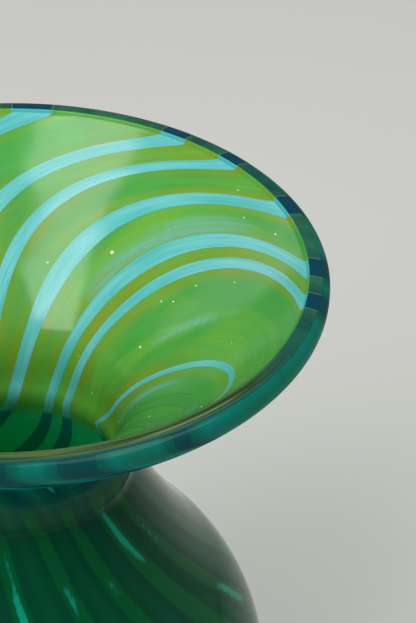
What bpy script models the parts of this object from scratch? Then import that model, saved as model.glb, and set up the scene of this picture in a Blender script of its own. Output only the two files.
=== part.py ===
"""Hand blown art glass vase: a trumpet mouth on a pinched neck and a round body.

The wall is built up the way the glass is gathered:
  inner_lining  the first bubble, green, with a groove pressed in for every ribbon
  ribbon_NN     turquoise trails rolled flush into the bubble, twisting from lip to foot
  outer_casing  the last gather, dark teal, with the thick base and the pontil hollow

Every layer is measured inwards from one outline of the outside, along its normal.
The origin is the centre of the flat ring that the vase stands on, and +Z is its axis.
"""

import math

import bmesh
import bpy
from mathutils import Vector
from mathutils.geometry import interpolate_bezier

MM = 0.001

# Outline, in millimetres
RIM_RADIUS = 60.5
FLARE_HEIGHT = 48.0
NECK_RADIUS = 24.0
NECK_LENGTH = 6.0
NECK_TAPER = 0.9
BODY_HEIGHT = 112.0
BELLY_RADIUS = 54.0
BELLY_HEIGHT = 50.0
FOOT_RADIUS = 26.0
HOLLOW_RADIUS = 17.0
HOLLOW_DEPTH = 3.5

# Where the outline bends between those sizes, as shares of each rise and reach
FLARE_BEND = (0.63, 0.673)
SHOULDER_BEND = (0.63, 0.516)

# Wall, in millimetres: the whole thickness, the lip's rounded edges outside and inside, the
# share of its rise that it slopes by, the drop of its inner edge, and how the layers share it
LIP_WALL = 4.4
LIP_SIDE = 1.0
LIP_SHOULDER = 1.6
LIP_CORNER = 0.8
LIP_SLOPE = 0.3
LIP_EDGE = 0.9
FLARE_WALL = 3.9
NECK_WALL = 3.8
BELLY_WALL = 3.8
FOOT_WALL = 10.0
LINING_WALL = 1.9
RIBBON_THICKNESS = 0.8
GAP = 0.3

# Ribbons: where each leaves the rim, the angle it settles to at the neck less its twist,
# and its width, all in degrees round the axis
RIBBONS = (
    (91, 91, 8.5), (59, 59, 6.0), (44, 44, 5.5), (24, 24, 7.0), (2, 2, 6.0), (-9, -9, 5.0),
    (-55, -33, 4.0), (-73, -57, 6.5), (-87, -77, 6.0), (-101, -95, 5.5), (-114, -109, 8.0),
    (-129, -126, 6.0), (-145, -143, 6.5), (-163, -163, 7.0), (-184, -184, 6.0),
    (-205, -205, 7.0), (-227, -227, 6.0), (-248, -248, 6.5),
)

# Twist of the ribbons going down: a steady turn, and a quick sweep just under the lip
TWIST_PER_MM = 0.667
SWEEP_ANGLE = 40.0
SWEEP_DEPTH = 10.0
SWEEP_POWER = 1.3
WANDER_POWER = 4

# How finely the surfaces are divided: degrees between the lining's columns, and the rest
CASING_SEGMENTS = 40
GROUND_STEP = 9.0
CROWN_STEPS = 3
SHARP_ANGLE = 40.0
MERGE_DISTANCE = 0.00001

HEIGHT = BODY_HEIGHT + FLARE_HEIGHT


def heading(degrees):
    """Unit vector in the (radius, height) plane: 0 runs outwards, -90 runs down."""
    angle = math.radians(degrees)
    return Vector((math.cos(angle), math.sin(angle)))


def between(low, high, share):
    """Point part of the way from one outline point to another, radius and height apart."""
    return Vector((low[0] + share[0] * (high[0] - low[0]), low[1] + share[1] * (high[1] - low[1])))


def span(start, start_heading, start_pull, end, end_heading, end_pull, steps):
    """Curve between two points: headings in degrees, pulls as shares of the chord."""
    chord = (end - start).length
    first = start + heading(start_heading) * start_pull * chord
    last = end - heading(end_heading) * end_pull * chord
    return [Vector(p) for p in interpolate_bezier(start, first, last, end, steps + 1)]


def outline():
    """Outside of the vase from the foot of the lip's crown to the axis, and its walls."""
    rim = Vector((RIM_RADIUS, HEIGHT - LIP_WALL / 2 - LIP_SIDE))
    crease = Vector((NECK_RADIUS, BODY_HEIGHT))
    neck_top = Vector((NECK_RADIUS + NECK_TAPER, BODY_HEIGHT + NECK_LENGTH))
    flare = between(crease, Vector((RIM_RADIUS, HEIGHT)), FLARE_BEND)
    belly = Vector((BELLY_RADIUS, BELLY_HEIGHT))
    shoulder = between(belly, crease, (1 - SHOULDER_BEND[0], SHOULDER_BEND[1]))
    foot = Vector((FOOT_RADIUS, 0.0))
    hollow = Vector((HOLLOW_RADIUS, 0.0))
    centre = Vector((0.0, HOLLOW_DEPTH))
    # each span: its points, and the wall where it starts and ends
    spans = (
        (span(rim, -90, 0.17, flare, -138, 0.40, 6), LIP_WALL, FLARE_WALL),
        (span(flare, -138, 0.52, neck_top, -93, 0.28, 5), FLARE_WALL, NECK_WALL),
        (span(neck_top, -93, 0.33, crease, -107, 0.33, 1), NECK_WALL, NECK_WALL),
        (span(crease, -63, 0.28, shoulder, -49.5, 0.31, 4), NECK_WALL, BELLY_WALL),
        (span(shoulder, -49.5, 0.295, belly, -90, 0.38, 3), BELLY_WALL, BELLY_WALL),
        (span(belly, -90, 0.48, foot, -180, 0.27, 5), BELLY_WALL, FOOT_WALL),
        (span(foot, -180, 0.33, hollow, -180, 0.33, 1), FOOT_WALL, FOOT_WALL),
        (span(hollow, -200, 0.33, centre, -180, 0.33, 3), FOOT_WALL, FOOT_WALL),
    )
    points, walls = [Vector((RIM_RADIUS, HEIGHT - LIP_WALL / 2)), rim], [LIP_WALL, LIP_WALL]
    for curve, wall_start, wall_end in spans:
        steps = len(curve) - 1
        for step in range(1, steps + 1):
            share = step / steps
            smooth = share * share * (3 - 2 * share)
            points.append(curve[step])
            walls.append(wall_start + (wall_end - wall_start) * smooth)
    return points, walls


POINTS, WALLS = outline()
FLARE_STATION = 7
FOOT_STATION = min(range(len(POINTS)), key=lambda i: (POINTS[i] - Vector((FOOT_RADIUS, 0))).length)


def inward(station):
    """Unit normal of the outline below the crown, pointing into the glass."""
    if POINTS[station].y == 0 or station == len(POINTS) - 1:
        return Vector((0.0, 1.0))
    before = (POINTS[station] - POINTS[station - 1]).normalized()
    after = (POINTS[station + 1] - POINTS[station]).normalized()
    along = (before + after).normalized()
    return Vector((along.y, -along.x))


def quarter_round(share):
    """Height of a quarter circle of radius 1, a share of the way in from its foot."""
    return math.sqrt(max(0.0, 1 - (1 - min(1.0, share)) ** 2))


def crown(depth):
    """Point on the rounded lip, at a depth in from the outside: it rises towards the inside."""
    slope = 1 - LIP_SLOPE * max(0.0, 1 - depth / (LIP_WALL - LIP_CORNER))
    outer = quarter_round(depth / LIP_SHOULDER) * LIP_WALL / 2
    inner = LIP_EDGE * (1 - quarter_round((LIP_WALL - depth) / LIP_CORNER))
    return Vector((RIM_RADIUS - depth, HEIGHT - LIP_WALL / 2 + slope * outer - inner))


def inside_line():
    """Inside of the vase: nearly straight down from the lip, then the outline less its wall."""
    lower = [POINTS[i] + inward(i) * WALLS[i] for i in range(FLARE_STATION, len(POINTS))]
    edge = crown(LIP_WALL)
    return span(edge, -132, 0.3, lower[0], -138, 0.3, FLARE_STATION)[:-1] + lower


INSIDE = inside_line()


def skin(from_inside):
    """Line through the wall that stays one distance from the inside, crown to axis."""
    line = [crown(LIP_WALL - from_inside)]
    for station in range(1, len(POINTS)):
        if station > FLARE_STATION:
            line.append(POINTS[station] + inward(station) * (WALLS[station] - from_inside))
        else:
            along = (INSIDE[station + 1] - INSIDE[station - 1]).normalized()
            line.append(INSIDE[station] - Vector((along.y, -along.x)) * from_inside)
    line[1] = (line[0] + line[2]) / 2
    return line


def crown_arc(start_depth, end_depth, steps):
    """Points over the crown strictly between two depths."""
    return [crown(start_depth + (end_depth - start_depth) * i / steps) for i in range(1, steps)]


def depth_inside(station):
    """Depth below the lip's inner edge, measured on the inside of the vase."""
    return INSIDE[0].y - INSIDE[station].y


def twist(station):
    """How far the ribbons have turned by this station, in degrees."""
    depth = depth_inside(station)
    sweep = SWEEP_ANGLE * (1 - math.exp(-((depth / SWEEP_DEPTH) ** SWEEP_POWER)))
    return TWIST_PER_MM * depth + sweep


def ribbon_centre(ribbon, station):
    """Angle of a ribbon's middle at a station: it wanders to its neck angle down the flare."""
    rim_angle, neck_angle, _width = RIBBONS[ribbon]
    share = min(1.0, depth_inside(station) / FLARE_HEIGHT)
    return rim_angle + (neck_angle - rim_angle) * share ** WANDER_POWER + twist(station)


def place(point, degrees):
    """Outline point turned round the axis, in metres."""
    angle = math.radians(degrees)
    return Vector((point.x * math.cos(angle), point.x * math.sin(angle), point.y)) * MM


def glass(name, colour, roughness):
    """Principled glass material."""
    material = bpy.data.materials.new(name)
    material.use_nodes = True
    shader = material.node_tree.nodes["Principled BSDF"]
    shader.inputs["Base Color"].default_value = (*colour, 1.0)
    shader.inputs["Roughness"].default_value = roughness
    shader.inputs["Metallic"].default_value = 0.0
    shader.inputs["Transmission Weight"].default_value = 0.6
    shader.inputs["IOR"].default_value = 1.5
    material.diffuse_color = (*colour, 1.0)
    return material


def finish(name, mesh, material):
    """Object for a mesh, shaded smooth but for its sharp edges."""
    mesh.materials.append(material)
    mesh.shade_smooth()
    mesh.set_sharp_from_angle(angle=math.radians(SHARP_ANGLE))
    piece = bpy.data.objects.new(name, mesh)
    bpy.context.collection.objects.link(piece)
    return piece


def mesh_from(name, bm):
    """Mesh from a bmesh with its faces turned outwards."""
    bmesh.ops.recalc_face_normals(bm, faces=bm.faces)
    mesh = bpy.data.meshes.new(name)
    bm.to_mesh(mesh)
    bm.free()
    return mesh


def skew_quad(bm, upper_low, upper_high, lower_high, lower_low):
    """Two triangles that share the diagonal from upper_high to lower_low, the short one."""
    bm.faces.new((upper_high, upper_low, lower_low))
    bm.faces.new((upper_high, lower_low, lower_high))


def make_casing():
    """Outer gather: one profile from the base's middle, over the lip and down the inside."""
    inner = skin(LINING_WALL + GAP)
    over_lip = crown_arc(LIP_WALL - LINING_WALL - GAP, 0.0, CROWN_STEPS)
    line = inner[::-1] + over_lip + [crown(0.0)] + POINTS[1:]
    mesh = bpy.data.meshes.new("outer_casing")
    edges = [(i, i + 1) for i in range(len(line) - 1)]
    mesh.from_pydata([place(point, 0) for point in line], edges, [])
    piece = finish("outer_casing", mesh, glass("teal_glass", (0.0, 0.17, 0.14), 0.04))
    turn = piece.modifiers.new("turn", "SCREW")
    turn.steps = CASING_SEGMENTS
    turn.render_steps = CASING_SEGMENTS
    turn.use_merge_vertices = True
    turn.merge_threshold = MERGE_DISTANCE
    turn.use_smooth_shade = True
    return piece


def ribbon_edges(ribbon, station):
    """Angles of a ribbon's groove at a station, lower angle first."""
    centre = ribbon_centre(ribbon, station)
    half = RIBBONS[ribbon][2] / 2
    return centre - half, centre + half


def ground_columns():
    """Columns of the lining between ribbons: (ribbon before, ribbon after, share across)."""
    order = sorted(range(len(RIBBONS)), key=lambda k: RIBBONS[k][0])
    columns = []
    for place_in_order, ribbon in enumerate(order):
        after = order[(place_in_order + 1) % len(order)]
        start = ribbon_edges(ribbon, 0)[1]
        end = ribbon_edges(after, 0)[0]
        across = (end - start) % 360
        steps = max(1, round(across / GROUND_STEP))
        columns += [(ribbon, after, step / steps) for step in range(steps + 1)]
    return columns


def column_angle(column, station):
    """Angle of a lining column at a station."""
    before, after, share = column
    start = ribbon_edges(before, station)[1]
    end = ribbon_edges(after, station)[0]
    return start + share * ((end - start) % 360)


def is_groove_side(column):
    """Whether a column of the lining runs down the side of a groove."""
    return column[2] in (0, 1)


def lining_ring(bm, columns, point, station):
    """One vert of the lining at each column, all at one outline point."""
    return [bm.verts.new(place(point, column_angle(c, station))) for c in columns]


def close_at_axis(bm, ring, pole):
    """Triangles from a ring to the point on the axis."""
    for index, vert in enumerate(ring):
        bm.faces.new((vert, ring[(index + 1) % len(ring)], pole))


def join_rings(bm, upper, lower, index):
    """One skewed quad between two rings, from a column to the next."""
    after = (index + 1) % len(upper)
    skew_quad(bm, upper[index], upper[after], lower[after], lower[index])


def make_lining():
    """First bubble, with a groove on its outside for each ribbon, open at the lip."""
    bm = bmesh.new()
    columns = ground_columns()
    last = len(POINTS) - 1
    floor_depth = LINING_WALL - RIBBON_THICKNESS - GAP
    inner, floor, outer = skin(0.0), skin(floor_depth), skin(LINING_WALL)
    inner_rings = [lining_ring(bm, columns, inner[i], i) for i in range(last)]
    outer_rings = [lining_ring(bm, columns, outer[i], i) for i in range(last)]
    crown_depths = (floor_depth / 2, floor_depth, (floor_depth + LINING_WALL) / 2)
    crown_rings = [lining_ring(bm, columns, crown(LIP_WALL - d), 0) for d in crown_depths]
    floor_rings = [crown_rings[1]]
    for station in range(1, FOOT_STATION + 1):
        sides = [bm.verts.new(place(floor[station], column_angle(column, station)))
                 if is_groove_side(column) else None for column in columns]
        floor_rings.append(sides)

    for index, column in enumerate(columns):
        after = (index + 1) % len(columns)
        is_groove = column[2] == 1
        for station in range(last - 1):
            join_rings(bm, inner_rings[station], inner_rings[station + 1], index)
            rings = floor_rings if is_groove and station < FOOT_STATION else outer_rings
            join_rings(bm, rings[station], rings[station + 1], index)
        over_lip = [inner_rings[0], *crown_rings, outer_rings[0]]
        if is_groove:
            over_lip = over_lip[:3]
            outer_end, floor_end = outer_rings[FOOT_STATION], floor_rings[FOOT_STATION]
            bm.faces.new((outer_end[index], outer_end[after], floor_end[after], floor_end[index]))
        for low, high in zip(over_lip, over_lip[1:]):
            bm.faces.new((low[index], high[index], high[after], low[after]))
        if is_groove_side(column):
            groove_side(bm, index, floor_rings, outer_rings, crown_rings[2])
    close_at_axis(bm, inner_rings[-1], bm.verts.new(place(inner[last], 0)))
    close_at_axis(bm, outer_rings[-1], bm.verts.new(place(outer[last], 0)))
    mesh = mesh_from("inner_lining", bm)
    return finish("inner_lining", mesh, glass("green_glass", (0.11, 0.39, 0.05), 0.05))


def groove_side(bm, index, floor_rings, outer_rings, upper_crown):
    """Side wall of a groove down one column, from the lip to the foot."""
    floor_top, outer_top = floor_rings[0][index], outer_rings[0][index]
    skew_quad(bm, floor_top, outer_top, outer_rings[1][index], floor_rings[1][index])
    bm.faces.new((floor_top, upper_crown[index], outer_top))
    for station in range(1, FOOT_STATION):
        skew_quad(bm, floor_rings[station][index], outer_rings[station][index],
                  outer_rings[station + 1][index], floor_rings[station + 1][index])


def make_ribbon(ribbon, material):
    """One trail, lying in its groove with a gap below it and on both sides."""
    bm = bmesh.new()
    below, above = skin(LINING_WALL - RIBBON_THICKNESS), skin(LINING_WALL)
    rings = []
    for station in range(FOOT_STATION):
        low, high = ribbon_edges(ribbon, station)
        slack = math.degrees(GAP / above[station].x)
        corners = ((below, low + slack), (above, low + slack), (above, high - slack),
                   (below, high - slack))
        rings.append([bm.verts.new(place(line[station], angle)) for line, angle in corners])
    for upper, lower in zip(rings, rings[1:]):
        for low, high in ((0, 1), (1, 2), (3, 2), (0, 3)):
            skew_quad(bm, upper[low], upper[high], lower[high], lower[low])
    bm.faces.new(rings[0])
    bm.faces.new(rings[-1])
    name = f"ribbon_{ribbon + 1:02d}"
    return finish(name, mesh_from(name, bm), material)


def main():
    for old in list(bpy.data.objects):
        bpy.data.objects.remove(old, do_unlink=True)
    make_lining()
    turquoise = glass("turquoise_glass", (0.10, 0.50, 0.50), 0.05)
    for ribbon in range(len(RIBBONS)):
        make_ribbon(ribbon, turquoise)
    make_casing()


main()
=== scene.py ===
# %% [markdown]
# # Hand blown art glass vase
# The real vase is built up from the inside: a first bubble of glass, ribbons of milky
# turquoise laid on it, and a last gather of dark teal over everything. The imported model
# holds those layers as plain solids. Here each gets a fine surface and a glass of its own.

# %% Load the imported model
import math
import random

import bmesh
import bpy
from mathutils import Matrix, Vector
from mathutils.geometry import interpolate_bezier


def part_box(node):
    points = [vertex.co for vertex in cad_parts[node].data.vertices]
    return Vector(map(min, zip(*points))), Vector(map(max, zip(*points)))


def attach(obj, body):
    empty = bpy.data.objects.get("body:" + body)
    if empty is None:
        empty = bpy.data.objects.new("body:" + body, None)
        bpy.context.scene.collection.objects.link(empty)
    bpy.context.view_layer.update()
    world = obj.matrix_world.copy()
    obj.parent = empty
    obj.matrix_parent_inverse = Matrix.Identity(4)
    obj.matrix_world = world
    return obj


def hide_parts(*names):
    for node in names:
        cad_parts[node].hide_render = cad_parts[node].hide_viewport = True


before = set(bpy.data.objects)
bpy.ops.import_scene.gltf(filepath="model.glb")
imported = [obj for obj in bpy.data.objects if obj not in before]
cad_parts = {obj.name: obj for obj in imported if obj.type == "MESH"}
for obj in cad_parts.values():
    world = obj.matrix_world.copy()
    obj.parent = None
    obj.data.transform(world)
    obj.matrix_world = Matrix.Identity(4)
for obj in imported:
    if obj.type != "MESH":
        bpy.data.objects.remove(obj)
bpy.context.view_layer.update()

MM = 0.001
print("nodes in the frame:", len(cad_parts))

# %% [markdown]
# ## One outline for every layer
# A blown vase is round, so one line from lip to foot says its whole shape. The line is a
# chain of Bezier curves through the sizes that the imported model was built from. Every layer
# is then measured inwards from it along its normal, so the layers always follow each other.

# %% Sizes of the vase, in millimetres
casing_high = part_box("outer_casing")[1]
RIM_RADIUS = casing_high[0] / MM
HEIGHT = casing_high[2] / MM
FLARE_HEIGHT = 48.0
BODY_HEIGHT = HEIGHT - FLARE_HEIGHT
NECK_RADIUS, NECK_LENGTH, NECK_TAPER = 24.0, 6.0, 0.9
BELLY_RADIUS, BELLY_HEIGHT = 54.0, 50.0
FOOT_RADIUS, HOLLOW_RADIUS, HOLLOW_DEPTH = 26.0, 17.0, 3.5
FLARE_BEND = (0.63, 0.673)
SHOULDER_BEND = (0.63, 0.516)
LIP_WALL, LIP_SIDE = 4.4, 1.0
LIP_SHOULDER, LIP_CORNER, LIP_SLOPE, LIP_EDGE = 1.6, 0.8, 0.3, 0.9
FLARE_WALL, NECK_WALL, BELLY_WALL, FOOT_WALL = 3.9, 3.8, 3.8, 10.0
LINING_WALL, RIBBON_THICKNESS = 1.9, 0.8
print("rim radius and height, mm:", round(RIM_RADIUS, 2), round(HEIGHT, 2))


# %% The outline as a chain of curves
def heading(degrees):
    """Unit vector in the radius and height plane: 0 runs outwards, -90 runs down."""
    angle = math.radians(degrees)
    return Vector((math.cos(angle), math.sin(angle)))


def between(low, high, share):
    """Point part of the way between two outline points, radius and height apart."""
    return Vector((low[0] + share[0] * (high[0] - low[0]), low[1] + share[1] * (high[1] - low[1])))


def span(start, start_heading, start_pull, end, end_heading, end_pull, steps):
    """Curve between two points: headings in degrees, pulls as shares of the chord."""
    chord = (end - start).length
    first = start + heading(start_heading) * start_pull * chord
    last = end - heading(end_heading) * end_pull * chord
    return [Vector(p) for p in interpolate_bezier(start, first, last, end, steps + 1)]


def outline(fineness):
    """Outside of the vase from the foot of the lip's crown to the axis, and its walls."""
    rim = Vector((RIM_RADIUS, HEIGHT - LIP_WALL / 2 - LIP_SIDE))
    crease = Vector((NECK_RADIUS, BODY_HEIGHT))
    neck_top = Vector((NECK_RADIUS + NECK_TAPER, BODY_HEIGHT + NECK_LENGTH))
    flare = between(crease, Vector((RIM_RADIUS, HEIGHT)), FLARE_BEND)
    belly = Vector((BELLY_RADIUS, BELLY_HEIGHT))
    shoulder = between(belly, crease, (1 - SHOULDER_BEND[0], SHOULDER_BEND[1]))
    foot = Vector((FOOT_RADIUS, 0.0))
    hollow = Vector((HOLLOW_RADIUS, 0.0))
    centre = Vector((0.0, HOLLOW_DEPTH))
    spans = (
        (span(rim, -90, 0.17, flare, -138, 0.40, 6 * fineness), LIP_WALL, FLARE_WALL),
        (span(flare, -138, 0.52, neck_top, -93, 0.28, 6 * fineness), FLARE_WALL, NECK_WALL),
        (span(neck_top, -93, 0.33, crease, -107, 0.33, 2 * fineness), NECK_WALL, NECK_WALL),
        (span(crease, -63, 0.28, shoulder, -49.5, 0.31, 4 * fineness), NECK_WALL, BELLY_WALL),
        (span(shoulder, -49.5, 0.295, belly, -90, 0.38, 3 * fineness), BELLY_WALL, BELLY_WALL),
        (span(belly, -90, 0.48, foot, -180, 0.27, 5 * fineness), BELLY_WALL, FOOT_WALL),
        (span(foot, -180, 0.33, hollow, -180, 0.33, fineness), FOOT_WALL, FOOT_WALL),
        (span(hollow, -200, 0.33, centre, -180, 0.33, 2 * fineness), FOOT_WALL, FOOT_WALL),
    )
    points, walls = [Vector((RIM_RADIUS, HEIGHT - LIP_WALL / 2)), rim], [LIP_WALL, LIP_WALL]
    for curve, wall_start, wall_end in spans:
        steps = len(curve) - 1
        for step in range(1, steps + 1):
            share = step / steps
            smooth = share * share * (3 - 2 * share)
            points.append(curve[step])
            walls.append(wall_start + (wall_end - wall_start) * smooth)
    return points, walls


FINENESS = 4
POINTS, WALLS = outline(FINENESS)
FLARE_STATION = 1 + 6 * FINENESS
CREASE_STATION = 1 + 14 * FINENESS
FOOT_STATION = min(range(len(POINTS)), key=lambda i: (POINTS[i] - Vector((FOOT_RADIUS, 0))).length)
print("stations down the outline:", len(POINTS), "foot at", FOOT_STATION)


# %% Lines that run inside the wall
def inward(station):
    """Unit normal of the outline below the crown, pointing into the glass."""
    if POINTS[station].y == 0 or station == len(POINTS) - 1:
        return Vector((0.0, 1.0))
    before = (POINTS[station] - POINTS[station - 1]).normalized()
    after = (POINTS[station + 1] - POINTS[station]).normalized()
    along = (before + after).normalized()
    return Vector((along.y, -along.x))


def quarter_round(share):
    """Height of a quarter circle of radius 1, a share of the way in from its foot."""
    return math.sqrt(max(0.0, 1 - (1 - min(1.0, share)) ** 2))


def crown(depth):
    """Point on the rounded lip, at a depth in from the outside: it rises towards the inside."""
    slope = 1 - LIP_SLOPE * max(0.0, 1 - depth / (LIP_WALL - LIP_CORNER))
    outer = quarter_round(depth / LIP_SHOULDER) * LIP_WALL / 2
    inner = LIP_EDGE * (1 - quarter_round((LIP_WALL - depth) / LIP_CORNER))
    return Vector((RIM_RADIUS - depth, HEIGHT - LIP_WALL / 2 + slope * outer - inner))


def inside_line():
    """Inside of the vase: nearly straight down from the lip, then the outline less its wall."""
    lower = [POINTS[i] + inward(i) * WALLS[i] for i in range(FLARE_STATION, len(POINTS))]
    edge = crown(LIP_WALL)
    return span(edge, -132, 0.3, lower[0], -138, 0.3, FLARE_STATION)[:-1] + lower


INSIDE = inside_line()


def at_depth(station, from_inside):
    """Point in the wall at a station, a distance from the inside of the vase."""
    if station > FLARE_STATION:
        return POINTS[station] + inward(station) * (WALLS[station] - from_inside)
    along = (INSIDE[station + 1] - INSIDE[max(0, station - 1)]).normalized()
    return INSIDE[station] - Vector((along.y, -along.x)) * from_inside


def crown_arc(start_depth, end_depth, steps):
    """Points over the crown strictly between two depths, closer together at its two ends."""
    shares = [(1 - math.cos(math.pi * i / steps)) / 2 for i in range(1, steps)]
    return [crown(start_depth + (end_depth - start_depth) * share) for share in shares]


print("throat radius inside, mm:", round(min(p.x for p in INSIDE[: FOOT_STATION - 20]), 2))

# %% [markdown]
# ## How the ribbons run
# The glassmaker laid the ribbons down the bubble and then turned it, so they all twist the
# same way: steadily down the body, and in a quick sweep where the mouth was spun open. Each
# ribbon keeps the angle where it was laid, so no two gaps between them are the same.

# %% Angles of the ribbons, in degrees
RIBBONS = (
    (91, 91, 8.5), (59, 59, 6.0), (44, 44, 5.5), (24, 24, 7.0), (2, 2, 6.0), (-9, -9, 5.0),
    (-55, -33, 3.2), (-73, -57, 6.5), (-87, -77, 6.0), (-101, -95, 5.5), (-114, -109, 8.0),
    (-129, -126, 6.0), (-145, -143, 6.5), (-163, -163, 7.0), (-184, -184, 6.0),
    (-205, -205, 7.0), (-227, -227, 6.0), (-248, -248, 6.5),
)
TWIST_PER_MM = 0.667
SWEEP_ANGLE, SWEEP_DEPTH, SWEEP_POWER = 40.0, 10.0, 1.3
WANDER_POWER = 4
# ribbons that sank into the green on the flare, how far, and between which depths
VEILED = {7: 0.96, 8: 0.98, 9: 0.98}
VEIL_FIRST, VEIL_LAST = 4.0, 42.0


def depth_inside(station):
    """Depth below the lip's inner edge, measured on the inside of the vase."""
    return INSIDE[0].y - INSIDE[station].y if station < FOOT_STATION else INSIDE[0].y


def twist(station):
    """How far the ribbons have turned by this station, in degrees."""
    depth = depth_inside(station)
    sweep = SWEEP_ANGLE * (1 - math.exp(-((depth / SWEEP_DEPTH) ** SWEEP_POWER)))
    return TWIST_PER_MM * depth + sweep


def ribbon_centre(ribbon, station):
    """Angle of a ribbon's middle at a station: it wanders to its neck angle down the flare."""
    rim_angle, neck_angle, _width = RIBBONS[ribbon]
    share = min(1.0, depth_inside(station) / FLARE_HEIGHT)
    return rim_angle + (neck_angle - rim_angle) * share ** WANDER_POWER + twist(station)


print("turns from lip to foot:", round(twist(FOOT_STATION) / 360, 2))

# %% [markdown]
# ## Turning a layer
# A layer is one closed profile spun round the axis, as on a lathe. Before the spin each point
# of the profile is told its station, and Blender copies that to every point it makes. So each
# point knows how far the ribbons have turned where it lies, and the glass can be streaked
# along them: *flow* holds that direction, *gap* the distance to the nearest ribbon's edge,
# *wisp* the stray trails between ribbons, and *lap* how far over the lip the point is.

# %% Distances that the colours need
SEGMENTS = 288
FLOW_SCALE = 60.0
LAP_DEPTH = 4.05
# stray trails: laid angle, half width in degrees, first and last depth in millimetres
WISPS = ((8.0, 3.2, 5.0, 26.0), (12.0, 2.0, 4.0, 14.0), (-33.5, 1.3, 15.0, 26.0),
         (70.0, 2.0, 8.0, 30.0), (-62.0, 2.0, 20.0, 44.0), (-118.0, 2.4, 10.0, 40.0))


def turned_apart(angle, other):
    """Difference of two angles in degrees, between -180 and 180."""
    return (angle - other + 180) % 360 - 180


def nearest_ribbon(angle, station, radius, showing):
    """Millimetres from a place to the nearest showing ribbon's edge, negative on the ribbon."""
    apart = min(abs(turned_apart(angle, ribbon_centre(ribbon, station))) - RIBBONS[ribbon][2] / 2
                for ribbon in showing)
    return math.radians(apart) * max(radius, 1.0)


def wisp_at(angle, station):
    """Strength of the stray trails at a place, from 0 to 1."""
    depth, best = depth_inside(station), 0.0
    for laid, half, first, last in WISPS:
        apart = turned_apart(angle, laid + twist(station)) / half
        along = (2 * depth - first - last) / (last - first)
        best = max(best, math.exp(-apart * apart) * max(0.0, 1 - along ** 4))
    return best


# %% Spin a profile into a closed layer
def turned_layer(name, profile, painted, showing):
    """Closed round layer. Each painted pair of places bounds the faces of one more material.

    The profile is a list of (outline point, station, millimetres past the lap line), and a
    place is a point's number in it. Faces outside every pair keep the first material. Only
    the ribbons in showing count for the gap.
    """
    bm = bmesh.new()
    layers = bm.verts.layers.float
    station_of, place_of, lap_of = (layers.new(key) for key in ("station", "place", "lap"))
    verts = []
    for place, (point, station, lap) in enumerate(profile):
        vert = bm.verts.new((point.x * MM, 0.0, point.y * MM))
        vert[station_of], vert[place_of], vert[lap_of] = station, place, lap
        verts.append(vert)
    edges = [bm.edges.new(pair) for pair in zip(verts, verts[1:])]
    bmesh.ops.spin(bm, geom=verts + edges, cent=(0, 0, 0), axis=(0, 0, 1), dvec=(0, 0, 0),
                   angle=math.tau, steps=SEGMENTS, use_merge=True)
    bmesh.ops.remove_doubles(bm, verts=bm.verts, dist=0.000001)
    bmesh.ops.recalc_face_normals(bm, faces=bm.faces)
    for face in bm.faces:
        face.smooth = True
        places = [vert[place_of] for vert in face.verts]
        for number, (first, last) in enumerate(painted, start=1):
            if min(places) >= first and max(places) <= last:
                face.material_index = number
    flow = bm.verts.layers.float_vector.new("flow")
    gap_of, wisp_of = layers.new("gap"), layers.new("wisp")
    station_of, lap_of = layers["station"], layers["lap"]
    for vert in bm.verts:
        station = round(vert[station_of])
        angle = math.degrees(math.atan2(vert.co.y, vert.co.x))
        laid = math.radians(angle - twist(station))
        vert[flow] = (math.cos(laid), math.sin(laid), POINTS[station].y / FLOW_SCALE)
        vert[gap_of] = nearest_ribbon(angle, station, math.hypot(vert.co.x, vert.co.y) / MM,
                                      showing)
        vert[wisp_of] = wisp_at(angle, station)
    mesh = bpy.data.meshes.new(name)
    bm.to_mesh(mesh)
    bm.free()
    layer = bpy.data.objects.new(name, mesh)
    bpy.context.collection.objects.link(layer)
    return layer


# %% [markdown]
# ## The lining and the casing
# The lining is the first bubble. Its colour shows on the inside of the vase, so that is the
# face that gets painted, and it goes on over the lip as far as the casing laps. Round the body
# the casing is clear teal glass with its depth of colour on its inner face, so one looks
# through real thickness. Up the flare its wall is thin and lit through from the lip, and a
# painted outside, made lighter there as painted light, shows that better than bent rays do, so
# the paint runs from the lip down to the crease of the neck.

# %% Profiles of the two layers
LAP_WALL, LAP_FADE = 1.0, 4.0
TOUCH = 0.05
CROWN_STEPS = 10


def lining_wall(station):
    """Thickness of the lining: a little more where it turns over the lip."""
    return LINING_WALL + LAP_WALL * math.exp(-depth_inside(station) / LAP_FADE)


def line_at(depth_of, lap=0.0):
    """Profile points at each station, a distance from the inside given by depth_of."""
    top = [(crown(LIP_WALL - depth_of(0)), 0, lap)]
    return top + [(at_depth(station, depth_of(station)), station, lap)
                  for station in range(2, len(POINTS))]


lining_lap = LIP_WALL - lining_wall(0)
inner_face, length = [(INSIDE[0], 0, LAP_DEPTH - LIP_WALL)], LAP_DEPTH - LIP_WALL
for station in range(1, len(POINTS)):
    length -= (INSIDE[station] - INSIDE[station - 1]).length
    inner_face.append((INSIDE[station], station, length))
over_lip = [(point, 0, LAP_DEPTH - (RIM_RADIUS - point.x))
            for point in crown_arc(LIP_WALL, lining_lap, CROWN_STEPS)]
lining_profile = inner_face[::-1] + over_lip + line_at(lining_wall, LAP_DEPTH - lining_lap)
lip_first, lip_last = len(inner_face) - 1, len(inner_face) + len(over_lip)
unveiled = [ribbon for ribbon in range(len(RIBBONS)) if ribbon not in VEILED]
lining = turned_layer("lining_glass", lining_profile, ((0, lip_first), (lip_first, lip_last)),
                      unveiled)
print("lining faces:", len(lining.data.polygons))

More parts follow.
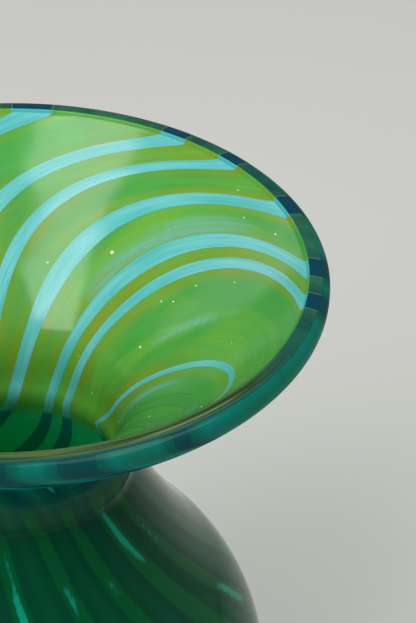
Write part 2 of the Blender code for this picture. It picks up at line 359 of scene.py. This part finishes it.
# %% Casing
casing_inner = line_at(lambda station: lining_wall(station) + TOUCH)
casing_crown = [(point, 0, 0.0) for point in crown_arc(lining_lap - TOUCH, 0.0, CROWN_STEPS)]
casing_outer = [(crown(0.0), 0, 0.0)]
casing_outer += [(POINTS[station], station, 0.0) for station in range(1, len(POINTS))]
casing_profile = casing_inner[::-1] + casing_crown + casing_outer
inner_last = len(casing_inner) - 1
crease_last = len(casing_inner) + len(casing_crown) + CREASE_STATION
casing = turned_layer("casing_glass", casing_profile,
                      ((0, inner_last), (inner_last, crease_last)),
                      range(len(RIBBONS)))
print("casing faces:", len(casing.data.polygons))

# %% [markdown]
# ## Ribbons
# A trail of hot glass rolled flush turns into a flat lens with thin edges. Each one starts as
# a small ring of points round that lens, and its edges are extruded from station to station
# down the vase. Its width swells and thins a little on the way, as a hand laid trail does.

# %% Section of a ribbon
FACE = (-1.0, -0.93, -0.62, -0.31, 0.0, 0.31, 0.62, 0.93, 1.0)
BACK = (0.8, 0.3, -0.3, -0.8)
PROUD = 0.05
PROUD_MIDDLE = 0.03


def ribbon_half(ribbon, station):
    """Half width of a ribbon in degrees, with a slow hand made swell."""
    depth = depth_inside(station)
    swell = 0.09 * math.sin(depth / 11.0 + ribbon * 1.7) + 0.04 * math.sin(depth / 4.3 + ribbon)
    return RIBBONS[ribbon][2] / 2 * (1 + swell)


def veil(ribbon, station):
    """How deep a ribbon lies in the green, from 0 on the surface to 1 out of sight."""
    if ribbon not in VEILED:
        return 0.0
    along = (2 * depth_inside(station) - VEIL_FIRST - VEIL_LAST) / (VEIL_LAST - VEIL_FIRST)
    return VEILED[ribbon] * max(0.0, 1 - along ** 6)


def ribbon_section(ribbon, station):
    """Points round a ribbon's lens at a station, each with its share across."""
    centre, half = ribbon_centre(ribbon, station), ribbon_half(ribbon, station)
    face = [(across, -PROUD - PROUD_MIDDLE * (1 - across * across)) for across in FACE]
    back = [(across, RIBBON_THICKNESS) for across in BACK]
    section = []
    for across, from_inside in face + back:
        at = at_depth(station, from_inside)
        angle = math.radians(centre + across * half)
        section.append((Vector((at.x * math.cos(angle), at.x * math.sin(angle), at.y)) * MM,
                        across))
    return section


# %% Extrude each ribbon down the vase
def next_ring(bm, ring):
    """Extrude a ring of points and return the new ring in the same order."""
    edges = [bm.edges.get(pair) for pair in zip(ring, ring[1:] + ring[:1])]
    made = set(bmesh.ops.extrude_edge_only(bm, edges=edges)["geom"])
    return [next(edge.other_vert(old) for edge in old.link_edges if edge.other_vert(old) in made)
            for old in ring]


def make_ribbon(ribbon):
    """One ribbon as a closed solid from the lip to the foot."""
    bm = bmesh.new()
    flow = bm.verts.layers.float_vector.new("flow")
    veil_of = bm.verts.layers.float.new("veil")
    ring = bmesh.ops.create_circle(bm, cap_ends=False, segments=len(FACE + BACK),
                                   radius=MM)["verts"]
    rings = [ring]
    for _station in range(1, FOOT_STATION):
        rings.append(next_ring(bm, rings[-1]))
    for station, ring in enumerate(rings):
        for vert, (point, across) in zip(ring, ribbon_section(ribbon, station)):
            vert.co = point
            vert[flow] = (across, ribbon * 3.0, depth_inside(station) / FLOW_SCALE)
            vert[veil_of] = veil(ribbon, station)
    bmesh.ops.contextual_create(bm, geom=rings[0])
    bmesh.ops.contextual_create(bm, geom=rings[-1])
    bmesh.ops.recalc_face_normals(bm, faces=bm.faces)
    for face in bm.faces:
        face.smooth = len(face.verts) == 4
    for lit_flare_ground, lower in zip(rings, rings[1:]):
        for corner in (0, len(FACE) - 1):
            bm.edges.get((lit_flare_ground[corner], lower[corner])).smooth = False
    name = f"ribbon_glass_{ribbon + 1:02d}"
    mesh = bpy.data.meshes.new(name)
    bm.to_mesh(mesh)
    bm.free()
    piece = bpy.data.objects.new(name, mesh)
    bpy.context.collection.objects.link(piece)
    return piece


ribbons = [make_ribbon(ribbon) for ribbon in range(len(RIBBONS))]
print("ribbons:", len(ribbons), "faces each:", len(ribbons[0].data.polygons))

# %% [markdown]
# ## Seed bubbles
# Small bubbles of trapped gas sit just under the inner surface and sparkle. Each is a tiny
# sphere of a few faces, half sunk in the lining. A few large ones have a place of their own,
# and the rest are scattered by chance, always the same way because the chance is seeded.

# %% Seeds
# laid angle in degrees, depth in millimetres, radius in millimetres
LARGE_SEEDS = ((13.4, 19.0, 0.48), (30.4, 21.5, 0.28), (-31.2, 27.7, 0.26), (-17.0, 21.3, 0.20),
               (-19.8, 19.9, 0.20), (-16.9, 15.5, 0.18), (-18.0, 11.4, 0.16), (10.9, 3.0, 0.22),
               (15.1, 4.6, 0.18), (30.4, 2.2, 0.18))
SMALL_SEEDS = 70
chance = random.Random(7)
seeds = [(laid, depth, radius) for laid, depth, radius in LARGE_SEEDS]
for _seed in range(SMALL_SEEDS):
    seeds.append((chance.uniform(0, 360), chance.uniform(1.0, 42.0), chance.uniform(0.05, 0.12)))
bm = bmesh.new()
for laid, depth, radius in seeds:
    station = min(range(1, FOOT_STATION), key=lambda i: abs(depth_inside(i) - depth))
    angle = math.radians(laid + twist(station))
    at = INSIDE[station]
    spot = Vector((at.x * math.cos(angle), at.x * math.sin(angle), at.y)) * MM
    bmesh.ops.create_icosphere(bm, subdivisions=2, radius=radius * MM,
                               matrix=Matrix.Translation(spot))
for face in bm.faces:
    face.smooth = True
seed_mesh = bpy.data.meshes.new("seed_bubbles")
bm.to_mesh(seed_mesh)
bm.free()
seed_piece = bpy.data.objects.new("seed_bubbles", seed_mesh)
bpy.context.collection.objects.link(seed_piece)
print("seed bubbles:", len(seeds))

# %% [markdown]
# ## Small helpers for materials
# A finish is a small graph of nodes. These helpers add a node, set its values and join its
# inputs in one line, so each material below reads as a list of what it is made of.


# %% Node helpers
def add_node(tree, kind, values=None, links=None, **settings):
    """New node with its settings, input values and input links."""
    node = tree.nodes.new(kind)
    for key, value in settings.items():
        setattr(node, key, value)
    for key, value in (values or {}).items():
        node.inputs[key].default_value = value
    for key, socket in (links or {}).items():
        tree.links.new(socket, node.inputs[key])
    return node


def blend(tree, factor, first, second, mode="MIX"):
    """Colour mixed from two colours or sockets by a factor or a socket."""
    node = tree.nodes.new("ShaderNodeMix")
    node.data_type = "RGBA"
    node.blend_type = mode
    for index, value in ((0, factor), (6, first), (7, second)):
        if isinstance(value, bpy.types.NodeSocket):
            tree.links.new(value, node.inputs[index])
        else:
            node.inputs[index].default_value = value
    return node.outputs[2]


def ramp(tree, socket, low, high, top=1.0):
    """Value from 0 to top as a socket runs from low to high, smoothly."""
    node = add_node(tree, "ShaderNodeMapRange",
                    {"From Min": low, "From Max": high, "To Max": top},
                    {"Value": socket}, interpolation_type="SMOOTHSTEP")
    return node.outputs["Result"]


def maths(tree, operation, first, second):
    """One sum or product of two values or sockets."""
    node = add_node(tree, "ShaderNodeMath", operation=operation)
    for index, value in enumerate((first, second)):
        if isinstance(value, bpy.types.NodeSocket):
            tree.links.new(value, node.inputs[index])
        else:
            node.inputs[index].default_value = value
    return node.outputs[0]


def streaks(tree, vector, scale, detail=3.0, rough=0.55, distortion=0.0):
    """Noise drawn out along a vector: scale says how fine it is each way."""
    mapping = add_node(tree, "ShaderNodeMapping", {"Scale": scale}, {"Vector": vector})
    noise = add_node(tree, "ShaderNodeTexNoise",
                     {"Scale": 1.0, "Detail": detail, "Roughness": rough,
                      "Distortion": distortion},
                     {"Vector": mapping.outputs["Vector"]})
    return noise.outputs["Fac"]


def attribute(tree, name, output="Fac"):
    """Socket that reads one of the layer's own attributes."""
    return add_node(tree, "ShaderNodeAttribute", attribute_name=name).outputs[output]


def in_metres(tree):
    """Socket with the place on the vase, in metres."""
    return add_node(tree, "ShaderNodeTexCoord").outputs["Object"]


def new_material(name):
    """Empty node material and its output."""
    material = bpy.data.materials.new(name)
    material.use_nodes = True
    material.node_tree.nodes.clear()
    output = material.node_tree.nodes.new("ShaderNodeOutputMaterial")
    return material, material.node_tree, output


def linear(red, green, blue):
    """Colour as read off a chart, 0 to 255, turned into Blender's linear one."""
    def channel(value):
        value /= 255
        return value / 12.92 if value <= 0.04045 else ((value + 0.055) / 1.055) ** 2.4
    return (channel(red), channel(green), channel(blue), 1.0)


# %% [markdown]
# ## Teal glass
# The casing of the body is a Principled shader with full transmission, round a volume that
# absorbs red first, so the thicker the glass, the deeper its teal. Lamps would have to find
# their way through it by chance, which leaves grain, so for shadow rays the surface counts as
# clear film.


# %% Teal casing glass
WAVE_HEIGHT = 0.5 * MM


def hand_waves(tree, strength):
    """Normal with slight waves and the fine rings that turning against a tool leaves."""
    place = in_metres(tree)
    wave = streaks(tree, place, (38.0, 38.0, 38.0), detail=2.0)
    rings = streaks(tree, attribute(tree, "flow", "Vector"), (3.0, 3.0, 90.0), detail=2.0)
    both = maths(tree, "ADD", wave, maths(tree, "MULTIPLY", rings, 0.05))
    return add_node(tree, "ShaderNodeBump", {"Strength": strength, "Distance": WAVE_HEIGHT},
                    {"Height": both}).outputs["Normal"]


def lets_lamps_through(tree, shader, tint, output):
    """Join a shader to the output, but as a tinted film for shadow rays."""
    film = add_node(tree, "ShaderNodeBsdfTransparent", {"Color": tint})
    path = add_node(tree, "ShaderNodeLightPath")
    mix = add_node(tree, "ShaderNodeMixShader",
                   links={0: path.outputs["Is Shadow Ray"], 1: shader, 2: film.outputs["BSDF"]})
    tree.links.new(mix.outputs["Shader"], output.inputs["Surface"])


def teal_glass():
    """Glossy teal glass with slight waves and a few dull smears."""
    material, tree, output = new_material("casing_teal")
    smears = streaks(tree, in_metres(tree), (60.0, 60.0, 60.0), detail=4.0)
    glass = add_node(tree, "ShaderNodeBsdfPrincipled",
                     {"Base Color": (0.30, 0.95, 0.90, 1), "IOR": 1.27, "Transmission Weight": 1.0,
                      "Specular Tint": (0.25, 0.75, 0.68, 1)},
                     {"Roughness": ramp(tree, smears, 0.3, 0.9, top=0.04),
                      "Normal": hand_waves(tree, 0.4)})
    lets_lamps_through(tree, glass.outputs["BSDF"], (0.92, 0.98, 0.97, 1), output)
    depth = add_node(tree, "ShaderNodeVolumeAbsorption",
                     {"Color": (0.0, 0.80, 0.78, 1), "Density": 140.0})
    tree.links.new(depth.outputs["Volume"], output.inputs["Volume"])
    return material


# %% [markdown]
# ## Colour in the lining
# Green glass rolled in powder is never even. It is leaf green, cooler in broad bands, olive
# beside every ribbon where the two melts ran together, and finely streaked along the twist.
# It is mostly body colour, and part translucent, so that it glows with light from behind.
# Below the neck the lining is painted one teal for the throat's shade, which is painted shade.


# %% Green of the lining
# heights in millimetres between which the colour changes to the painted shade of the throat
THROAT_SHADE_HEIGHTS = (101.0, 108.0)
OLIVE_NEAR, OLIVE_FAR = 1.5, 6.5


def height_share(tree, heights):
    """Value from 0 to 1 between two heights on the vase, in millimetres."""
    low, high = heights
    parts = add_node(tree, "ShaderNodeSeparateXYZ", links={"Vector": in_metres(tree)})
    return ramp(tree, parts.outputs["Z"], low * MM, high * MM)


def lining_colour(tree):
    """Colour of the lining inside the vase, darker below the neck where light is short."""
    flow, place, gap = attribute(tree, "flow", "Vector"), in_metres(tree), attribute(tree, "gap")
    broad = streaks(tree, flow, (2.6, 2.6, 2.2), detail=3.0, distortion=0.4)
    fine = streaks(tree, flow, (26.0, 26.0, 4.0), detail=5.0, rough=0.6, distortion=0.6)
    cloud = streaks(tree, place, (70.0, 70.0, 70.0), detail=4.0, rough=0.6)
    ragged = maths(tree, "ADD", gap, maths(tree, "MULTIPLY", cloud, 3.0))
    green = blend(tree, ramp(tree, broad, 0.36, 0.64), linear(72, 164, 68), linear(114, 180, 60))
    patchy = ramp(tree, streaks(tree, flow, (1.7, 1.7, 2.6), detail=2.0), 0.38, 0.6)
    beside = maths(tree, "MULTIPLY", ramp(tree, ragged, OLIVE_FAR, OLIVE_NEAR, top=0.85),
                   patchy)
    olive = blend(tree, beside, green, linear(134, 158, 24))
    clouded = blend(tree, ramp(tree, cloud, 0.45, 0.75, top=0.5), olive, linear(92, 190, 84))
    drawn = blend(tree, ramp(tree, fine, 0.45, 0.8, top=0.45), clouded, linear(72, 158, 56))
    stray = maths(tree, "MULTIPLY", attribute(tree, "wisp"), ramp(tree, fine, 0.3, 0.62))
    strayed = blend(tree, maths(tree, "MULTIPLY", stray, 0.9), drawn, linear(118, 192, 184))
    # below the neck the lining takes one teal: painted shade of the throat
    return blend(tree, height_share(tree, THROAT_SHADE_HEIGHTS), linear(34, 214, 160), strayed)


# %% [markdown]
# ## Colour of the lip
# The lip is where every layer ends, so one looks at the cut edges of green, turquoise and teal
# through clear glass. Round most of it the ribbons show as darker blocks between pale joints. On
# the near side the lip is painted as light makes it look from in front: long olive and grey green
# lines for the green seen through the clear lip, and a pale painted highlight along its crown.
# That is painted light, and it covers the joints there.


# %% Colour of the lip
# millimetres either side of a ribbon's edge, and how wide its pale joint is
RIBBON_BLUR, JOINT_INNER, JOINT_OUTER = 0.08, 0.05, 0.16
# millimetres along y where the near lip's painted light starts and where nothing of the joints is
# left
NEAR_LIGHT_FROM, NEAR_LIGHT_TO = -20.0, -38.0
# millimetres over the lap: the two soft edges of the pale painted highlight, and where the teal
# rim comes in
HIGHLIGHT_START, HIGHLIGHT_END, TEAL_EDGE = (1.2, 1.5), (1.9, 1.6), (1.8, 2.4)


def jointed_lip(tree):
    """Grey green lip, teal at the ribbons, with a pale joint at each ribbon's edge."""
    gap = attribute(tree, "gap")
    speckle = streaks(tree, in_metres(tree), (900.0, 900.0, 900.0), detail=2.0)
    cloud = streaks(tree, attribute(tree, "flow", "Vector"), (9.0, 9.0, 2.0), detail=3.0)
    ground = blend(tree, ramp(tree, cloud, 0.3, 0.7), linear(14, 78, 72), linear(44, 106, 78))
    ground = blend(tree, ramp(tree, speckle, 0.55, 0.8, top=0.5), ground, linear(14, 56, 60))
    ribbon = ramp(tree, gap, RIBBON_BLUR, -RIBBON_BLUR)
    colour = blend(tree, ribbon, ground, linear(0, 62, 84))
    from_edge = maths(tree, "ABSOLUTE", gap, 0.0)
    joint = ramp(tree, from_edge, JOINT_OUTER, JOINT_INNER, top=0.5)
    return blend(tree, joint, colour, linear(120, 158, 84))


def near_lip_light(tree, place):
    """Painted light of the near lip: olive and grey green lines for the green seen through, a pale
    painted highlight, and a teal outer edge.
    """
    across = attribute(tree, "lap")
    along = add_node(tree, "ShaderNodeCombineXYZ",
                     links={"X": place["X"], "Y": place["Y"], "Z": across}).outputs["Vector"]
    lines = streaks(tree, along, (26.0, 26.0, 1.6), detail=4.0)
    near_light_colour = blend(tree, ramp(tree, lines, 0.36, 0.64), linear(24, 60, 36), linear(84, 108, 62))
    # the pale line is a painted highlight along the lip's crown
    line = maths(tree, "MULTIPLY", ramp(tree, across, *HIGHLIGHT_START), ramp(tree, across, *HIGHLIGHT_END))
    broken_highlight = maths(tree, "MULTIPLY", line, ramp(tree, lines, 0.45, 0.6, top=0.7))
    near_light_colour = blend(tree, broken_highlight, near_light_colour, linear(122, 142, 112))
    return blend(tree, ramp(tree, across, *TEAL_EDGE), near_light_colour, linear(22, 84, 80))


def lip_colour(tree):
    """Colour of the lip: jointed on the far side, painted see-through and highlight on the near
    one.
    """
    place = add_node(tree, "ShaderNodeSeparateXYZ", links={"Vector": in_metres(tree)}).outputs
    near = ramp(tree, place["Y"], NEAR_LIGHT_FROM * MM, NEAR_LIGHT_TO * MM)
    return blend(tree, near, jointed_lip(tree), near_lip_light(tree, place))


# %% [markdown]
# ## Paint under a clear coat
# One way of joining nodes does for every coloured layer. A matt body colour is mixed with a
# translucent one, which glows when light comes from behind, and a clear coat gives the gloss.
# For shadow rays the layer is a tinted film, so some light gets inside the vase.


# %% Painted layers
# how much of a layer glows: the lining, and the casing
LINING_GLOW, CASING_GLOW = 0.35, 0.65
LINING_PASSES = (0.38, 0.64, 0.42, 1)
# millimetres past the lap line where a ribbon's end shows, and where the lip's colour starts
RIBBON_END, LIP_STARTS = (-1.6, -1.2), (-0.1, 0.1)


def painted_glass(name, colour, through, gloss, passes):
    """Glass with its colour close under the surface: body colour, glow and a clear coat."""
    material, tree, output = new_material(name)
    shade = colour(tree)
    normal = hand_waves(tree, 0.3)
    paint = add_node(tree, "ShaderNodeBsdfPrincipled",
                     {"Roughness": 0.5, "Specular IOR Level": 0.0, "Coat Weight": gloss,
                      "Coat Roughness": 0.14, "Coat IOR": 1.50},
                     {"Base Color": shade, "Normal": normal, "Coat Normal": normal})
    glow = add_node(tree, "ShaderNodeBsdfTranslucent", links={"Color": shade})
    mix = add_node(tree, "ShaderNodeMixShader", {0: through},
                   {1: paint.outputs["BSDF"], 2: glow.outputs["BSDF"]})
    lets_lamps_through(tree, mix.outputs["Shader"], passes, output)
    return material


def lining_to_lap(tree):
    """Lining colour that changes to the lip's at the lap line, past the ribbons' ends."""
    lap, gap = attribute(tree, "lap"), attribute(tree, "gap")
    edge = maths(tree, "MULTIPLY", ramp(tree, lap, *RIBBON_END), ramp(tree, gap, 0.05, -0.05))
    inside = blend(tree, edge, lining_colour(tree), linear(76, 190, 190))
    return blend(tree, ramp(tree, lap, *LIP_STARTS), inside, lip_colour(tree))


lining_green = painted_glass("lining_green", lining_to_lap, LINING_GLOW, 1.0, LINING_PASSES)
lip_joints_and_light = painted_glass("lip_joints_and_light", lining_to_lap, LINING_GLOW, 0.25, LINING_PASSES)
print("lining materials:", lining_green.name, lip_joints_and_light.name)

# %% [markdown]
# ## Colour deep in the casing
# Through the casing the ribbons show as soft green bands, each with a darker strip either side,
# and here and there a painted highlight: a bright turquoise glint along a ribbon's middle. Up the
# flare the glass is thinner and turns from green to teal, and its ground is painted lighter there
# for the light that comes through the lip, so that part is painted light.


# %% Deep teal of the casing
# heights in millimetres between which ground and bands turn from green to teal; above them the
# ground is painted lighter, painted light for what comes through the lip
GROUND_LIT_HEIGHTS, BAND_TURNS = (112.0, 128.0), (114.0, 124.0)
# millimetres from a ribbon's edge: its dark border, its soft edge, and the core where a turquoise
# glint is painted as a highlight
BORDER, BAND_EDGE, CORE = (3.2, 0.4), (0.60, 0.10), (-0.9, -1.3)


def casing_depth(tree):
    """Colour deep in the casing: dark teal, with a green band over every ribbon."""
    flow, gap, place = attribute(tree, "flow", "Vector"), attribute(tree, "gap"), in_metres(tree)
    broad = streaks(tree, flow, (3.0, 3.0, 1.5), detail=3.0)
    lower = blend(tree, ramp(tree, broad, 0.35, 0.65), linear(8, 104, 66), linear(6, 96, 72))
    # lighter teal ground up the flare: partly thinner glass, partly painted light coming through
    # the lip
    lit_flare_ground = blend(tree, ramp(tree, broad, 0.35, 0.65), linear(6, 134, 112), linear(6, 142, 136))
    base = blend(tree, height_share(tree, GROUND_LIT_HEIGHTS), lower, lit_flare_ground)
    slow = streaks(tree, flow, (2.1, 2.1, 3.4), detail=1.0)
    # painted highlight: turquoise glints along the middles of some ribbons
    painted_glint = maths(tree, "MULTIPLY", ramp(tree, slow, 0.56, 0.61), ramp(tree, gap, *CORE))
    stripe = blend(tree, height_share(tree, BAND_TURNS), linear(6, 114, 60), linear(4, 90, 96))
    band = blend(tree, painted_glint, stripe, linear(40, 190, 172))
    base = blend(tree, ramp(tree, gap, *BORDER, top=0.5), base, linear(2, 76, 56))
    ragged = maths(tree, "MULTIPLY", streaks(tree, place, (90.0, 90.0, 90.0)), 0.8)
    banded = blend(tree, ramp(tree, maths(tree, "ADD", gap, ragged), *BAND_EDGE), base, band)
    fine = streaks(tree, flow, (22.0, 22.0, 2.0), detail=4.0)
    return blend(tree, ramp(tree, fine, 0.5, 0.85, top=0.5), banded, linear(8, 92, 74))


casing_teal = teal_glass()
casing_ground = painted_glass("casing_depth", casing_depth, CASING_GLOW, 0.0,
                              (0.55, 0.80, 0.60, 1))
casing_skin = painted_glass("casing_skin", casing_depth, CASING_GLOW, 0.5,
                            (0.70, 0.92, 0.84, 1))
for finish in (casing_ground, lining_green, lip_joints_and_light):
    lining.data.materials.append(finish)
for finish in (casing_teal, casing_ground, casing_skin):
    casing.data.materials.append(finish)
print("casing materials:", casing_teal.name, casing_ground.name, casing_skin.name)

# %% [markdown]
# ## Turquoise and silver
# The ribbons are milky glass, drawn out so their streaks run along them. Below the neck they are
# painted nearly navy for the throat's shade, which is painted shade. Those that sank into the
# green keep only its colour and a faint smudge. The bubbles are gas, so they shine like silver.


# %% Milky turquoise of the ribbons
# heights in millimetres below which the ribbons take the painted shade of the throat
RIBBON_SHADE_HEIGHTS = (104.5, 107.0)


def ribbon_colour(tree):
    """Turquoise with pale and deep streaks drawn out along the ribbon."""
    flow = attribute(tree, "flow", "Vector")
    fine = streaks(tree, flow, (4.0, 7.0, 9.0), detail=4.0, rough=0.6)
    slow = streaks(tree, flow, (0.5, 5.0, 4.0), detail=2.0)
    base = blend(tree, ramp(tree, slow, 0.35, 0.65), linear(88, 188, 188), linear(116, 200, 204))
    drawn = blend(tree, ramp(tree, fine, 0.42, 0.75, top=0.7), base, linear(62, 172, 168))
    smudge = blend(tree, ramp(tree, fine, 0.40, 0.62), linear(74, 152, 62), linear(64, 142, 58))
    veiled = blend(tree, attribute(tree, "veil"), drawn, smudge)
    # below the neck the ribbons are painted nearly navy: painted shade of the throat
    return blend(tree, height_share(tree, RIBBON_SHADE_HEIGHTS), linear(10, 112, 136), veiled)


turquoise = painted_glass("ribbon_turquoise", ribbon_colour, 0.3, 1.0, (0.15, 0.35, 0.35, 1))
for piece in ribbons:
    piece.data.materials.append(turquoise)
print("ribbon material:", turquoise.name)


# %% Silver of the bubbles
def bubble_glass():
    """Bright gas bubble: mirror like, with a soft uneven film."""
    material, tree, output = new_material("seed_silver")
    film = streaks(tree, in_metres(tree), (1500.0, 1500.0, 1500.0), detail=2.0)
    colour = blend(tree, film, linear(170, 205, 150), linear(235, 245, 225))
    shader = add_node(tree, "ShaderNodeBsdfPrincipled",
                      {"Metallic": 0.1, "Roughness": 0.15, "Coat Weight": 1.0},
                      {"Base Color": colour})
    tree.links.new(shader.outputs["BSDF"], output.inputs["Surface"])
    return material


seed_mesh.materials.append(bubble_glass())
print("materials:", len(bpy.data.materials))

# %% [markdown]
# ## Joining the pieces to the frame
# Nothing on the vase moves, so every piece rides on the one body. Each layer and each ribbon
# replaces the imported solid that it stands for.

# %% Join the pieces to the frame
for piece, node, slot in ((lining, "inner_lining", "green_glass"),
                          (casing, "outer_casing", "teal_glass")):
    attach(piece, "root")
    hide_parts(node)
for ribbon, piece in enumerate(ribbons):
    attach(piece, "root")
    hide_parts(f"ribbon_{ribbon + 1:02d}")
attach(seed_piece, "root")
print("pieces joined:", len(ribbons) + 3)

# %% [markdown]
# ## Floor, light and camera
# A plain pale floor and soft light are enough for glass: what it shows is mostly the light's
# own reflection and the floor seen through it. The main box hangs to the left and a little in
# front, so its reflection falls down the far side of the mouth.


# %% Floor
FLOOR_SIZE = 6.0
bm = bmesh.new()
bmesh.ops.create_grid(bm, x_segments=1, y_segments=1, size=FLOOR_SIZE / 2)
floor_mesh = bpy.data.meshes.new("floor")
bm.to_mesh(floor_mesh)
bm.free()
floor = bpy.data.objects.new("floor", floor_mesh)
bpy.context.collection.objects.link(floor)
material, tree, output = new_material("pale_floor")
mottle = streaks(tree, in_metres(tree), (3.0, 3.0, 3.0))
floor_colour = blend(tree, mottle, linear(185, 184, 180), linear(191, 190, 187))
matt = add_node(tree, "ShaderNodeBsdfPrincipled", {"Roughness": 0.8},
                {"Base Color": floor_colour})
tree.links.new(matt.outputs["BSDF"], output.inputs["Surface"])
floor_mesh.materials.append(material)
print("floor, m:", FLOOR_SIZE, "square")

# %% Light
ROOM_COLOUR, ROOM_STRENGTH = (0.95, 0.96, 0.95, 1.0), 0.56
world = bpy.data.worlds.new("studio")
bpy.context.scene.world = world
world.use_nodes = True
room = world.node_tree.nodes["Background"]
room.inputs["Color"].default_value = ROOM_COLOUR
room.inputs["Strength"].default_value = ROOM_STRENGTH


def soft_box(name, place, target, width, height, radiance):
    """Rectangular light that faces a target, as bright per area as radiance says."""
    lamp = bpy.data.lights.new(name, "AREA")
    lamp.shape = "RECTANGLE"
    lamp.size, lamp.size_y = width, height
    lamp.energy = radiance * math.pi * width * height
    box = bpy.data.objects.new(name, lamp)
    box.matrix_world = Matrix.Translation(place) @ (
        Vector(place) - Vector(target)).to_track_quat("Z", "Y").to_matrix().to_4x4()
    bpy.context.collection.objects.link(box)
    return box


soft_box("main", (-0.42, -0.56, 0.79), (0.0, 0.0, 0.14), 0.50, 0.84, 6.1)
soft_box("overhead", (0.50, -0.20, 1.30), (0.0, 0.0, 0.14), 0.80, 0.80, 4.6)
soft_box("fill", (-0.95, 0.95, 0.55), (0.0, 0.0, 0.12), 0.8, 0.5, 0.9)
print("lamps:", [lamp.name for lamp in bpy.data.lights])

# %% Camera
RIM_UNIT = 60.0
CAMERA_PLACE = Vector((0.631, -5.148, 3.504)) * RIM_UNIT * MM + Vector((0, 0, HEIGHT * MM))
CAMERA_PITCH, CAMERA_ROLL = math.radians(35.49), math.radians(2.63)
camera_data = bpy.data.cameras.new("camera")
camera_data.lens = 115.57
camera_data.sensor_width = 36.0
camera = bpy.data.objects.new("camera", camera_data)
look = Matrix.Rotation(math.pi / 2 - CAMERA_PITCH, 4, "X") @ Matrix.Rotation(CAMERA_ROLL, 4, "Z")
camera.matrix_world = Matrix.Translation(CAMERA_PLACE) @ look
bpy.context.collection.objects.link(camera)
bpy.context.scene.camera = camera
print("camera at, m:", [round(value, 3) for value in CAMERA_PLACE])
bpy.context.scene.view_settings.view_transform = "Standard"
